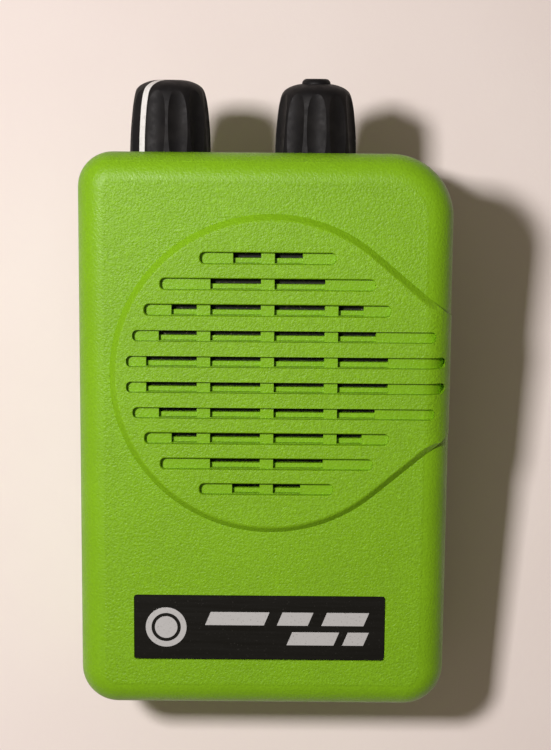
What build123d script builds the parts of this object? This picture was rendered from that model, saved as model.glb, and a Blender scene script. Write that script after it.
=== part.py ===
"""A belt-worn voice pager: two moulded shells, two top knobs, speaker, boards, battery, vibrator and belt clip.

Frame: +X to the right seen from the front, +Y to the back, +Z up towards the knobs. The origin is the centre
of the bottom face, on the plane where the front and rear shells meet. Lengths are millimetres.
"""

import os
from math import cos, radians, sin

from build123d import *

os.makedirs("parts", exist_ok=True)

# Allowances: EPS keeps touching pieces apart, OVER carries a cut past a face, THROUGH passes everything
EPS, OVER, THROUGH = 0.02, 1.0, 40.0

# Case
CASE_W, CASE_H = 59.2, 88.8
LIP_RISE, LIP_BACK_Y = 1.2, -14.4
FRONT_D, REAR_D = 19.0, 8.0
WALL, REAR_WALL = 2.0, 1.6
CORNERS = {(-1, 1): 5.5, (1, 1): 10.0, (1, -1): 6.5, (-1, -1): 6.0}
FRONT_EDGE_R, REAR_EDGE_R = 4.4, 2.6
TONGUE_T, TONGUE_H, TONGUE_GAP, SEAL_T = 0.9, 1.2, 0.1, 0.5
INSIDE_Y = WALL - FRONT_D

# Raised speaker field with its grille slots
RAISE, SLOPE_W, CREST_R = 1.0, 1.0, 0.5
FIELD_R, FIELD_X, FIELD_Z, RIM_X = 24.5, 0.4, 55.3, 1.0
FLARE_DEG, FLARE_LEVEL, FLARE_R = 50.0, 7.3, 9.8
SLOT_PITCH, SLOT_RISE = 4.1, 0.17
SLOT_H, SLOT_FLOOR, SLOT_LIP, LEDGE_H, LEDGE_Y = 1.8, 1.05, 0.22, 0.75, 2.0
SLOT_REACH = (10.6, 16.8, 19.3, 21.2, 22.2)
OPEN_REACH = (5.45, 9.05, 15.1, 17.1, 19.1)
LONG_SLOT_END = {3: 26.9, 4: 28.5}
RIB_W, RIB_PITCH = 2.1, 10.05

# Name plate
PLATE_W, PLATE_H, PLATE_X, PLATE_Z = 40.6, 10.9, -0.5, 13.8
PLATE_T, PLATE_RECESS, PLATE_GAP, PRINT_T = 0.35, 0.5, 0.1, 0.06
BADGE_X, BADGE_R, BADGE_LINE = -15.6, 3.3, 0.55
STRIPE_H, STRIPE_LEAN = 2.2, 0.9
STRIPES_TOP = [(-9.3, 9.5), (2.3, 5.0), (9.5, 6.8)]
STRIPES_LOW = [(3.9, 7.6), (12.9, 3.4)]

# Knobs and controls, on one line across the top
CONTROL_Y = -5.8
SELECTOR_X, VOLUME_X = -15.6, 7.9
KNOB_PROFILE = [(6.55, 0.0), (6.5, 0.25), (6.25, 0.52), (5.7, 0.80), (5.3, 0.88), (3.9, 0.962), (0.0, 1.0)]
SELECTOR_H, VOLUME_H, KNOB_GAP = 11.9, 11.5, 0.35
KNOB_CAVITY_R, KNOB_CAVITY_H = 5.0, 2.4
FLUTES, FLUTE_R, FLUTE_DEPTH, FLUTE_LEAN = 11, 3.6, 0.34, 4.5
SELECTOR_RIDGE_DEG, VOLUME_RIDGE_DEG = -92.0, -73.6
POINTER_DEG, POINTER_W, POINTER_T, FIT_GAP = -130.0, 1.15, 0.8, 0.02
SHAFT_R, PUSH_R, BUSH_R, RUN_GAP = 2.3, 1.0, 3.4, 0.05
BUTTON_R, BUTTON_TOP, BUTTON_TRAVEL = 2.3, 12.6, 0.6
CONTROL_W, CONTROL_H = 12.0, 8.4
CONTROL_TOP = CASE_H - WALL - 1.9
CONTROL_Z = CONTROL_TOP - CONTROL_H
ROTOR_R, ROTOR_Z, ROTOR_T = 4.2, CONTROL_Z + 4.2, 1.4
NUT_R, NUT_T = 4.4, 1.3

# Speaker, from the grille backwards
CLOTH_R, CLOTH_T = 20.2, 0.3
SPEAKER_R, GASKET_T, LIP_T = 20.0, 0.8, 1.0
LIP_Y = INSIDE_Y + CLOTH_T + GASKET_T + 0.15
CONE_R, COIL_R, COIL_T, CAP_R = 16.4, 6.3, 0.35, 2.5
YOKE_R, YOKE_WALL, YOKE_Y, YOKE_D = 8.4, 1.3, -8.3, 3.9
CLAMP_SPOT_R, CLAMP_T = 23.4, 0.8

# Boards
BOARD_Y, BOARD_T, BOARD_W, BOARD_Z0, BOARD_Z1 = -7.9, 1.2, 53.0, 8.6, CONTROL_Z - 1.2
BOARD_BACK = BOARD_Y + BOARD_T
BOARD_SPOTS = [(-24.0, 12.5), (24.0, 12.5), (-24.2, 71.8), (24.2, 71.8)]
RADIO_Y, RADIO_T, RADIO_W, RADIO_Z, RADIO_H = -12.8, 1.0, 40.0, 20.0, 21.0

# Battery bay in the rear shell
BAY_W, BAY_Z0, BAY_Z1, BAY_Y, BAY_WALL = 34.8, 3.3, 51.0, -4.5, 0.9
CELL_R, CELL_L, CELL_PITCH, CELL_Y, CELL_Z = 5.15, 43.2, 10.9, 1.0, 6.55
DOOR_W, DOOR_T, DOOR_Z1, DOOR_GAP, FLANGE_W, FLANGE_T = 37.4, 1.5, 52.0, 0.15, 0.9, 0.7

# Vibrator
MOTOR_X, MOTOR_Y, MOTOR_Z, MOTOR_R, MOTOR_L = 23.2, -0.6, 17.0, 3.0, 11.0
WEIGHT_R, WEIGHT_L = 3.0, 4.0

# Belt clip
CLIP_W, CLIP_T, CLIP_Y = 22.0, 2.0, 15.6
PIVOT_Y, PIVOT_Z, PIN_R, KNUCKLE_R, KNUCKLE_W = 13.2, 70.0, 1.25, 2.6, 2.6
BRACKET_W, BRACKET_T, BRACKET_Z0, BRACKET_Z1, EAR_T = 26.0, 1.8, 60.0, 79.0, 1.7

# Case screws, side jack, lamp and charging studs
SCREW_R, HEAD_R, HEAD_T, HEAD_Y = 1.0, 1.8, 1.2, 4.0
SCREW_SPOTS = [(-24.6, 83.1), (22.2, 81.2), (-24.4, 5.4), (24.3, 5.4)]
BOSS_R, BOSS_Y = 2.4, -1.0
JACK_Z, JACK_BORE_R, JACK_R, JACK_L = 66.0, 1.78, 2.9, 12.5
LENS_X, LENS_R = -3.9, 1.4
STUD_Y, STUD_R, STUD_PITCH = -10.5, 1.2, 6.0

# Plain sizes of the small parts
FIELD_ROOT, RELIEF_H = 8.0, 30.0
CASE_PILOT_L, BOARD_PILOT_L, CLAMP_PILOT_L = 8.0, 5.0, 2.8
POST_R, PILOT_R, POST_TRIM, RING_WALL, RING_GAP = 1.9, 0.8, 0.5, 1.4, 0.15
CLIP_POST_R, CLIP_POST_L, CLIP_POST_Y = 2.2, 4.5, 0.5
SLOT_CROSS_L, SLOT_CROSS_W, SLOT_CROSS_D = 2.2, 0.5, 0.6
RING_STEP, STRIPE_UP, STRIPE_DOWN = (1.0, 2.1), 0.4, 2.9
WINDOW_R, WINDOW_SPOT_R, GASKET_HOLE_R, CLAMP_HOLE_R = 2.6, 14.2, 17.8, 19.3
MAGNET_R, POLE_R, POLE_T, YOKE_FLOOR = 5.3, 5.6, 0.8, 1.0
SURROUND_R, SURROUND_T, CONE_Y, COIL_END_Y = 16.85, 0.3, -13.4, -10.3
LITTLE_HEAD_R, LITTLE_HEAD_T, LITTLE_SHANK_R = 1.4, 0.9, 0.75
LEAD_X, LEAD_R, LEAD_PATH = 3.0, 0.35, [(-11.3, 41.3), (-9.4, 40.0), (-8.35, 37.5)]
CHIP_T, TALL_CHIP_T, RADIO_CHIP_T = 1.0, 1.6, 1.4
CAN_H, CAN_T, CAN_WALL = 18.0, 2.4, 0.2
PLUG_W, PLUG_H, PLUG_Z = 24.0, 3.0, (12.0, 28.0)
JACK_GAP_W, JACK_GAP_H = 22.0, 7.0
ANTENNA_Y, ANTENNA_Z, CORE_R, CORE_L = 1.0, 57.5, 2.2, 40.0
WIND_R, WIND_L, TURN_R, TURN_W, TURN_PITCH, TURNS = 2.75, 24.0, 2.95, 0.8, 1.26, 19
SADDLE_X, SADDLE_D, SADDLE_H, SADDLE_W = (-18.5, 16.0), 7.9, 5.8, 2.5
SHAFT_L, FLAT_W, FLAT_D, FOOT = 8.2, 8.0, 3.2, 1.2
COVER_W, COVER_T, GASKET_R = 11.4, 0.8, 5.6
SWITCH_W, SWITCH_T, DOME_R, DOME_T = 4.6, 0.7, 1.2, 0.35
LAMP_W, LAMP_D, LAMP_T, CHIP_W = 3.2, 4.4, 1.2, 1.8
MOTOR_NOSE_R, MOTOR_NOSE_T, AXLE_R, AXLE_DEEP = 1.2, 0.6, 0.5, 3.0
CRADLE_W, CRADLE_H = 8.2, 7.5
CELL_EDGE, CELL_TIP_R, CELL_TIP_L, SLEEVE_T, TAB_W, TAB_D, TAB_T = 0.5, 1.9, 0.8, 0.15, 9.6, 8.0, 0.3
SPRING_R, SPRING_WIRE_R, SPRING_PITCH, SPRING_H = 3.2, 0.25, 0.85, 2.3
GRIP_Z, GRIP_PITCH, GRIP_W, GRIP_H, GRIP_D = 5.4, 1.7, 20.0, 0.8, 0.35
LABEL_W, LABEL_H, LABEL_T, LABEL_Z = 30.0, 24.0, 0.12, 34.0
WIND_PITCH, WIND_SPAN, WIND_RADIUS, WIND_WIRE_R = 1.0, 11.0, 1.85, 0.35
CLIP_HEAD_T, CLIP_SHANK_L = 0.5, 4.6
JACK_BODY_W, STUD_L, STUD_RIM_R, STUD_RIM_T, STUD_SUNK = 6.2, 2.6, 1.8, 0.8, 0.15

FIELD_Y = -(FRONT_D + RAISE)
SPEAKER_SPOT = [(FIELD_X, FIELD_Z)]
CONTROL_SPOTS = [(SELECTOR_X, CONTROL_Y), (VOLUME_X, CONTROL_Y)]


def across(y, x=0.0, z=0.0):
    """A plane facing the front at depth y, with local x and y along +X and +Z."""
    return Plane(origin=(x, y, z), x_dir=(1, 0, 0), z_dir=(0, -1, 0))


def level(z):
    """A plane facing up at height z."""
    return Plane.XY.offset(z)


def beside(x):
    """A plane facing right at x, with local x and y along +Y and +Z."""
    return Plane.YZ.offset(x)


def disc(plane, spots, radius, length, hole=0.0, mode=Mode.ADD):
    """Extrudes a disc or ring at each spot, along the plane's normal."""
    with BuildSketch(plane, mode=Mode.PRIVATE) as profile:
        with Locations(*spots):
            Circle(radius)
            if hole:
                Circle(hole, mode=Mode.SUBTRACT)
    extrude(profile.sketch, amount=length, mode=mode)


def bar(plane, spots, width, height, length, corner=0.0, mode=Mode.ADD):
    """Extrudes a rectangle at each spot, along the plane's normal, with optional round corners."""
    with BuildSketch(plane, mode=Mode.PRIVATE) as profile:
        with Locations(*spots):
            if corner:
                RectangleRounded(width, height, corner)
            else:
                Rectangle(width, height)
    extrude(profile.sketch, amount=length, mode=mode)


def around(spots, radius, angles):
    """Spots on a circle about one centre, at the given angles in degrees."""
    x, y = spots[0]
    return [(x + radius * cos(radians(a)), y + radius * sin(radians(a))) for a in angles]


def case_sketch(inset, plane, top=CASE_H):
    """The case outline seen from the front, with its four different corner radii."""
    with BuildSketch(plane, mode=Mode.PRIVATE) as outline:
        with Locations((0, top / 2)):
            Rectangle(CASE_W - 2 * inset, top - 2 * inset)
        for (side, end), radius in CORNERS.items():
            corner = Vector(side * CASE_W / 2, top / 2 * (1 + end))
            fillet(outline.vertices().sort_by_distance(corner)[0], radius - inset)
    return outline.sketch


def case_block(inset, end_y, edge_radius, top=CASE_H):
    """A block of the case outline from the parting plane to a depth, with the far edge rounded."""
    with BuildPart(mode=Mode.PRIVATE) as block:
        extrude(case_sketch(inset, across(0), top), amount=-end_y)
        far = block.faces().sort_by(Axis.Y)[0 if end_y < 0 else -1]
        fillet(far.edges(), edge_radius)
    return block.part


def field_sketch(grow, y):
    """The speaker field outline: a circle whose right side flares out to the case edge."""
    radius, curve, half = FIELD_R + grow, FLARE_R - grow, FLARE_LEVEL + grow
    c, s = cos(radians(FLARE_DEG)), sin(radians(FLARE_DEG))
    run = (radius * s - curve * (1 - s) - half) / c
    knee = (radius * c + run * s, radius * s - run * c)
    centre = (knee[0] + curve * c, half + curve)
    turn = radians(270 - (90 - FLARE_DEG) / 2)
    middle = (centre[0] + curve * cos(turn), centre[1] + curve * sin(turn))
    far = CASE_W / 2 + 5
    with BuildSketch(across(y, RIM_X, FIELD_Z), mode=Mode.PRIVATE) as field:
        with BuildLine():
            ThreePointArc((radius * c, radius * s), (-radius, 0), (radius * c, -radius * s))
            Line((radius * c, -radius * s), (knee[0], -knee[1]))
            ThreePointArc((knee[0], -knee[1]), (middle[0], -middle[1]), (centre[0], -half))
            Line((centre[0], -half), (far, -half))
            Line((far, -half), (far, half))
            Line((far, half), (centre[0], half))
            ThreePointArc((centre[0], half), middle, knee)
            Line(knee, (radius * c, radius * s))
        make_face()
    return field.sketch


def slot_rows():
    """Each grille slot as (height, left end, right end, half of its open part)."""
    for row in range(10):
        step = min(row, 9 - row)
        z = FIELD_Z + SLOT_RISE + (4.5 - row) * SLOT_PITCH
        left = FIELD_X - SLOT_REACH[step]
        right = LONG_SLOT_END.get(step, FIELD_X + SLOT_REACH[step])
        yield z, left, right, OPEN_REACH[step]


def slot_sketch(plane):
    """All ten grille slots as full-length rounded bars."""
    with BuildSketch(plane, mode=Mode.PRIVATE) as slots:
        for z, left, right, _ in slot_rows():
            with Locations(((left + right) / 2, z)):
                RectangleRounded(right - left, SLOT_H, SLOT_H * 0.42)
    return slots.sketch


def opening_sketch(plane, low, high):
    """Bands of every slot between two heights above its lower lip, interrupted by the ribs."""
    with BuildSketch(plane, mode=Mode.PRIVATE) as openings:
        for z, _, _, reach in slot_rows():
            with Locations((FIELD_X, z - SLOT_H / 2 + (low + high) / 2)):
                Rectangle(2 * reach, high - low)
        with Locations(*[(FIELD_X + side * RIB_PITCH, FIELD_Z) for side in (-1, 0, 1)]):
            Rectangle(RIB_W, 2 * FIELD_R, mode=Mode.SUBTRACT)
    return openings.sketch


def raised_field():
    """The raised field as a block with a sloping rim and a rounded crest."""
    raised = case_block(0.0, FIELD_Y, FRONT_EDGE_R)
    with BuildPart(mode=Mode.PRIVATE) as field:
        extrude(field_sketch(SLOPE_W, -FRONT_D), amount=-FIELD_ROOT)
        loft([field_sketch(SLOPE_W, -FRONT_D).face(), field_sketch(0.0, FIELD_Y).face()])
        crest = field.faces().sort_by(Axis.Y)[0]
        fillet(crest.edges(), CREST_R)
        add(raised, mode=Mode.INTERSECT)
    return field.part


def lip_relief():
    """The space over the deck behind the front lip."""
    with BuildPart(mode=Mode.PRIVATE) as relief:
        with BuildSketch(across(OVER), mode=Mode.PRIVATE) as over:
            with Locations((0, CASE_H)):
                Rectangle(CASE_W + 2 * OVER, RELIEF_H)
            add(case_sketch(0.0, Plane.XY), mode=Mode.SUBTRACT)
        extrude(over.sketch, amount=OVER - LIP_BACK_Y)
    return relief.part


def slot_recess():
    """The blind depth of every slot, following the case surface at a constant depth."""
    core = case_block(SLOT_FLOOR, FIELD_Y + SLOT_FLOOR, FRONT_EDGE_R - SLOT_FLOOR)
    with BuildPart(mode=Mode.PRIVATE) as recess:
        extrude(slot_sketch(across(FIELD_ROOT - FRONT_D)), amount=FIELD_ROOT + RAISE + OVER)
        add(core, mode=Mode.SUBTRACT)
    return recess.part


# Front shell
front_block = case_block(0.0, -FRONT_D, FRONT_EDGE_R, CASE_H + LIP_RISE)
front_cavity = case_block(WALL, INSIDE_Y, FRONT_EDGE_R - WALL)
field_part = raised_field()
recess_part = slot_recess()

with BuildPart() as front_housing:
    add(front_block)
    add(lip_relief(), mode=Mode.SUBTRACT)
    add(field_part)
    add(front_cavity, mode=Mode.SUBTRACT)
    add(recess_part, mode=Mode.SUBTRACT)
    openings = opening_sketch(across(INSIDE_Y + OVER), LEDGE_H, SLOT_H - RUN_GAP)
    ledges = opening_sketch(across(FIELD_Y + LEDGE_Y), RUN_GAP, LEDGE_H + RUN_GAP)
    extrude(openings, amount=WALL + RAISE + 2 * OVER, mode=Mode.SUBTRACT)
    extrude(ledges, amount=LEDGE_Y + OVER, mode=Mode.SUBTRACT)
    # Softened slot lips
    lips = front_housing.faces().filter_by(Axis.Y).sort_by(Axis.Y)[0].inner_wires()
    fillet([edge for lip in lips for edge in lip.edges()], SLOT_LIP)
    # Recess for the name plate
    plate_bed = across(-FRONT_D + PLATE_RECESS)
    bar(plate_bed, [(PLATE_X, PLATE_Z)], PLATE_W, PLATE_H, RAISE + OVER, 0.5, Mode.SUBTRACT)
    # Rabbet for the rear shell's tongue and the seal
    rabbet = case_sketch(WALL - TONGUE_T - TONGUE_GAP, across(0))
    extrude(rabbet, amount=TONGUE_H + SEAL_T, mode=Mode.SUBTRACT)
    # Speaker locating ring, its screw posts, the board posts and the case screw posts
    clamp_spots = around(SPEAKER_SPOT, CLAMP_SPOT_R, (45, 135, 225, 315))
    ring_h = LIP_Y + LIP_T - INSIDE_Y + POST_TRIM
    disc(across(LIP_Y + LIP_T), SPEAKER_SPOT, CLOTH_R + RING_WALL, ring_h, CLOTH_R + RING_GAP)
    disc(across(LIP_Y + LIP_T), clamp_spots, POST_R, ring_h)
    disc(across(BOARD_Y - RUN_GAP), BOARD_SPOTS, POST_R, BOARD_Y - INSIDE_Y + POST_TRIM)
    disc(across(BOSS_Y), SCREW_SPOTS, BOSS_R, BOSS_Y - INSIDE_Y + POST_TRIM)
    disc(across(BOSS_Y), SCREW_SPOTS, SCREW_R + RUN_GAP, CASE_PILOT_L, mode=Mode.SUBTRACT)
    disc(across(BOARD_Y), BOARD_SPOTS, PILOT_R, BOARD_PILOT_L, mode=Mode.SUBTRACT)
    disc(across(LIP_Y + LIP_T), clamp_spots, PILOT_R, CLAMP_PILOT_L, mode=Mode.SUBTRACT)
    # Holes for the control bushes and the lamp in the top, the jack in the right side, the studs below
    disc(level(CASE_H + OVER), CONTROL_SPOTS, BUSH_R + 0.1, -WALL * 2, mode=Mode.SUBTRACT)
    disc(level(CASE_H + OVER), [(LENS_X, CONTROL_Y)], LENS_R + RUN_GAP, -WALL * 2, mode=Mode.SUBTRACT)
    disc(beside(CASE_W / 2 + OVER), [(CONTROL_Y, JACK_Z)], JACK_R + RUN_GAP, -WALL * 2, mode=Mode.SUBTRACT)
    stud_spots = [(side * STUD_PITCH, STUD_Y) for side in (-1, 0, 1)]
    disc(level(-OVER), stud_spots, STUD_R + RUN_GAP, WALL * 2, mode=Mode.SUBTRACT)
front_housing.part.label = "front_housing"
export_step(front_housing.part, "parts/front_housing.step")

# Rear shell with the battery bay
rear_block = case_block(0.0, REAR_D, REAR_EDGE_R)
rear_cavity = case_block(WALL, REAR_D - REAR_WALL, REAR_EDGE_R - WALL)
bay_h = BAY_Z1 - BAY_Z0
bay_z = (BAY_Z0 + BAY_Z1) / 2
with BuildPart() as rear_housing:
    add(rear_block)
    add(rear_cavity, mode=Mode.SUBTRACT)
    # Tongue that drops into the front shell's rabbet
    with BuildSketch(across(OVER), mode=Mode.PRIVATE) as tongue:
        add(case_sketch(WALL - TONGUE_T, Plane.XY))
        add(case_sketch(WALL, Plane.XY), mode=Mode.SUBTRACT)
    extrude(tongue.sketch, amount=TONGUE_H + OVER)
    # Battery bay, standing through the parting plane
    bar(across(REAR_D - REAR_WALL), [(0, bay_z)], BAY_W + 2 * BAY_WALL, bay_h + 2 * BAY_WALL,
        REAR_D - REAR_WALL - BAY_Y + BAY_WALL)
    bar(across(REAR_D - REAR_WALL), [(0, WALL)], BAY_W + 2 * BAY_WALL, 1.5, REAR_D - REAR_WALL)
    bar(across(REAR_D + OVER), [(0, bay_z)], BAY_W, bay_h, REAR_D + OVER - BAY_Y, mode=Mode.SUBTRACT)
    # Door opening, wider under the lip where the door's flanges slide
    door_top = DOOR_Z1 + DOOR_GAP
    outside = across(REAR_D + OVER)
    bar(outside, [(0, door_top - 30)], DOOR_W + 2 * DOOR_GAP, 60, OVER + REAR_WALL, mode=Mode.SUBTRACT)
    bar(across(REAR_D - REAR_WALL + FLANGE_T + DOOR_GAP + 0.1), [(0, door_top - 30)],
        DOOR_W + 2 * (FLANGE_W + DOOR_GAP), 60, FLANGE_T + DOOR_GAP + 0.1, mode=Mode.SUBTRACT)
    # Posts for the case screws and for the clip bracket
    clip_spots = [(-7.5, 63.5), (7.5, 63.5), (-7.5, 76), (7.5, 76)]
    disc(across(REAR_D - POST_TRIM), SCREW_SPOTS, BOSS_R, REAR_D - POST_TRIM - BOSS_Y - RUN_GAP)
    disc(across(REAR_D - CLIP_POST_Y), clip_spots, CLIP_POST_R, CLIP_POST_L)
    disc(across(REAR_D + OVER), SCREW_SPOTS, HEAD_R + 0.2, REAR_D + OVER - HEAD_Y, mode=Mode.SUBTRACT)
    disc(across(REAR_D + OVER), SCREW_SPOTS, SCREW_R + 0.15, REAR_D + 3, mode=Mode.SUBTRACT)
    disc(across(REAR_D + OVER), clip_spots, SCREW_R + RUN_GAP, 4.6, mode=Mode.SUBTRACT)
rear_housing.part.label = "rear_housing"
export_step(rear_housing.part, "parts/rear_housing.step")

with BuildPart() as case_seal:
    with BuildSketch(across(-TONGUE_H - 0.02), mode=Mode.PRIVATE) as seal_ring:
        add(case_sketch(WALL - TONGUE_T, Plane.XY))
        add(case_sketch(WALL, Plane.XY), mode=Mode.SUBTRACT)
    extrude(seal_ring.sketch, amount=SEAL_T - 0.04)
case_seal.part.label = "case_seal"
export_step(case_seal.part, "parts/case_seal.step")

with BuildPart() as case_screws:
    disc(across(HEAD_Y + HEAD_T), SCREW_SPOTS, HEAD_R, HEAD_T)
    disc(across(HEAD_Y + 0.1), SCREW_SPOTS, SCREW_R, HEAD_Y + 8)
    cross = across(HEAD_Y + HEAD_T + EPS)
    bar(cross, SCREW_SPOTS, SLOT_CROSS_L, SLOT_CROSS_W, SLOT_CROSS_D, mode=Mode.SUBTRACT)
    bar(cross, SCREW_SPOTS, SLOT_CROSS_W, SLOT_CROSS_L, SLOT_CROSS_D, mode=Mode.SUBTRACT)
case_screws.part.label = "case_screws"
export_step(case_screws.part, "parts/case_screws.step")

# Name plate with a plain printed badge: a disc with wave arcs, and leaning stripes
PLATE_Y = -FRONT_D + PLATE_RECESS - 0.01
with BuildPart() as name_plate:
    bar(across(PLATE_Y), [(PLATE_X, PLATE_Z)], PLATE_W - 2 * PLATE_GAP, PLATE_H - 2 * PLATE_GAP, PLATE_T, 0.45)
name_plate.part.label = "name_plate"
export_step(name_plate.part, "parts/name_plate.step")

with BuildPart() as plate_print:
    with BuildSketch(across(PLATE_Y - PLATE_T)) as badge:
        with Locations((BADGE_X, PLATE_Z)):
            Circle(BADGE_R)
            for ring in RING_STEP:
                Circle(ring + BADGE_LINE / 2, mode=Mode.SUBTRACT)
                Circle(ring - BADGE_LINE / 2)
        for stripes, z in ((STRIPES_TOP, PLATE_Z + STRIPE_UP), (STRIPES_LOW, PLATE_Z - STRIPE_DOWN)):
            for start, length in stripes:
                lean = STRIPE_LEAN
                with BuildLine():
                    Polyline((start, z), (start + length, z), (start + length + lean, z + STRIPE_H),
                             (start + lean, z + STRIPE_H), close=True)
                make_face()
    extrude(amount=PRINT_T)
plate_print.part.label = "plate_print"
export_step(plate_print.part, "parts/plate_print.step")

# Speaker
with BuildPart() as grille_cloth:
    disc(across(INSIDE_Y + CLOTH_T + EPS), SPEAKER_SPOT, CLOTH_R, CLOTH_T)
grille_cloth.part.label = "grille_cloth"
export_step(grille_cloth.part, "parts/grille_cloth.step")

with BuildPart() as speaker_gasket:
    disc(across(LIP_Y - 2 * EPS), SPEAKER_SPOT, SPEAKER_R, GASKET_T - EPS, GASKET_HOLE_R)
speaker_gasket.part.label = "speaker_gasket"
export_step(speaker_gasket.part, "parts/speaker_gasket.step")


def spun(points):
    """Revolves a closed outline of (radius, depth) points about the speaker axis."""
    with BuildSketch(Plane(origin=(FIELD_X, 0, FIELD_Z)), mode=Mode.PRIVATE) as outline:
        with BuildLine():
            Polyline(*points, close=True)
        make_face()
    revolve(outline.sketch, axis=Axis((FIELD_X, 0, FIELD_Z), (0, 1, 0)))


LIP_BACK = LIP_Y + LIP_T
with BuildPart() as speaker_frame:
    basket_y = YOKE_Y - YOKE_D
    spun([(16.9, LIP_Y), (SPEAKER_R, LIP_Y), (SPEAKER_R, LIP_BACK), (19.2, LIP_BACK), (10.4, basket_y + 0.6),
          (YOKE_R + 0.02, basket_y + 0.6), (YOKE_R + 0.02, basket_y - 0.1), (10.2, basket_y - 0.1),
          (18.4, LIP_Y + 0.7), (16.9, LIP_Y + 0.7)])
    window_spots = around(SPEAKER_SPOT, WINDOW_SPOT_R, range(0, 360, 60))
    disc(across(0), window_spots, WINDOW_R, -(LIP_Y + OVER), mode=Mode.SUBTRACT)
speaker_frame.part.label = "speaker_frame"
export_step(speaker_frame.part, "parts/speaker_frame.step")

with BuildPart() as speaker_yoke:
    disc(across(YOKE_Y), SPEAKER_SPOT, YOKE_R, YOKE_FLOOR)
    disc(across(YOKE_Y), SPEAKER_SPOT, YOKE_R, YOKE_D, YOKE_R - YOKE_WALL)
speaker_yoke.part.label = "speaker_yoke"
export_step(speaker_yoke.part, "parts/speaker_yoke.step")

with BuildPart() as speaker_magnet:
    disc(across(YOKE_Y - YOKE_FLOOR), SPEAKER_SPOT, MAGNET_R, YOKE_D - YOKE_FLOOR - POLE_T)
    disc(across(YOKE_Y - YOKE_D + POLE_T), SPEAKER_SPOT, POLE_R, POLE_T)
speaker_magnet.part.label = "speaker_magnet"
export_step(speaker_magnet.part, "parts/speaker_magnet.step")

with BuildPart() as speaker_cone:
    spun([(0, CONE_Y - 0.9), (CAP_R, CONE_Y - 0.7), (COIL_R - COIL_T, CONE_Y), (CONE_R, LIP_Y + 0.1),
          (CONE_R, LIP_Y + 0.5), (COIL_R, CONE_Y + 0.4), (COIL_R - COIL_T, CONE_Y + 0.4),
          (CAP_R, CONE_Y - 0.3), (0, CONE_Y - 0.5)])
speaker_cone.part.label = "speaker_cone"
export_step(speaker_cone.part, "parts/speaker_cone.step")

with BuildPart() as speaker_surround:
    disc(across(LIP_Y + 0.6 - EPS), SPEAKER_SPOT, SURROUND_R, SURROUND_T, CONE_R + 0.1)
speaker_surround.part.label = "speaker_surround"
export_step(speaker_surround.part, "parts/speaker_surround.step")

with BuildPart() as voice_coil:
    disc(across(COIL_END_Y), SPEAKER_SPOT, COIL_R, COIL_END_Y - CONE_Y - 0.42, COIL_R - COIL_T)
voice_coil.part.label = "voice_coil"
export_step(voice_coil.part, "parts/voice_coil.step")

with BuildPart() as speaker_clamp:
    clamp_top = across(LIP_BACK + EPS + CLAMP_T)
    disc(clamp_top, SPEAKER_SPOT, CLOTH_R + RING_WALL, CLAMP_T, CLAMP_HOLE_R)
    disc(clamp_top, clamp_spots, POST_R, CLAMP_T)
    disc(clamp_top, clamp_spots, PILOT_R + 0.1, THROUGH, mode=Mode.SUBTRACT)
speaker_clamp.part.label = "speaker_clamp"
export_step(speaker_clamp.part, "parts/speaker_clamp.step")

with BuildPart() as speaker_screws:
    disc(across(LIP_BACK + CLAMP_T + LITTLE_HEAD_T + 0.1), clamp_spots, LITTLE_HEAD_R, LITTLE_HEAD_T)
    disc(across(LIP_BACK + CLAMP_T + 0.2), clamp_spots, LITTLE_SHANK_R, 3.2)
speaker_screws.part.label = "speaker_screws"
export_step(speaker_screws.part, "parts/speaker_screws.step")

with BuildPart() as speaker_leads:
    for x in (-LEAD_X, LEAD_X):
        with BuildLine(mode=Mode.PRIVATE) as lead:
            Spline(*[(FIELD_X + x, y, z) for y, z in LEAD_PATH])
        with BuildSketch(Plane(origin=lead.line @ 0, z_dir=lead.line % 0), mode=Mode.PRIVATE) as wire:
            Circle(LEAD_R)
        sweep(wire.sketch, path=lead.line)
speaker_leads.part.label = "speaker_leads"
export_step(speaker_leads.part, "parts/speaker_leads.step")

# Main board and receiver board
with BuildPart() as main_board:
    bar(across(BOARD_BACK), [(0, (BOARD_Z0 + BOARD_Z1) / 2)], BOARD_W, BOARD_Z1 - BOARD_Z0, BOARD_T, 1.0)
    bar(across(0), [(BOARD_W / 2, JACK_Z)], JACK_GAP_W, JACK_GAP_H, THROUGH, mode=Mode.SUBTRACT)
    disc(across(0), BOARD_SPOTS, PILOT_R + 0.1, THROUGH, mode=Mode.SUBTRACT)
main_board.part.label = "main_board"
export_step(main_board.part, "parts/main_board.step")

BACK_CHIPS = [(-12, 40, 10, 10), (4, 38, 7, 7), (-14, 24, 6, 8), (0, 22, 12, 6), (14, 40, 4, 5), (14, 26, 5, 4),
              (-3, 12.5, 8, 3), (10, 13, 3, 2), (-24, 30, 3, 5), (-24, 50, 3, 6)]
TALL_CHIPS = [(-16, 66, 9, 9), (-3, 67, 6, 6), (7, 66, 4, 8), (-3, 56, 10, 3)]
with BuildPart() as main_board_chips:
    for x, z, w, h in BACK_CHIPS:
        bar(across(BOARD_BACK + CHIP_T + EPS), [(x, z)], w, h, CHIP_T)
    for x, z, w, h in TALL_CHIPS:
        bar(across(BOARD_BACK + TALL_CHIP_T + EPS), [(x, z)], w, h, TALL_CHIP_T)
main_board_chips.part.label = "main_board_chips"
export_step(main_board_chips.part, "parts/main_board_chips.step")

with BuildPart() as board_screws:
    disc(across(BOARD_BACK + LITTLE_HEAD_T + EPS), BOARD_SPOTS, LITTLE_HEAD_R, LITTLE_HEAD_T)
    disc(across(BOARD_BACK + 0.1), BOARD_SPOTS, LITTLE_SHANK_R, 5.5)
board_screws.part.label = "board_screws"
export_step(board_screws.part, "parts/board_screws.step")

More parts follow.
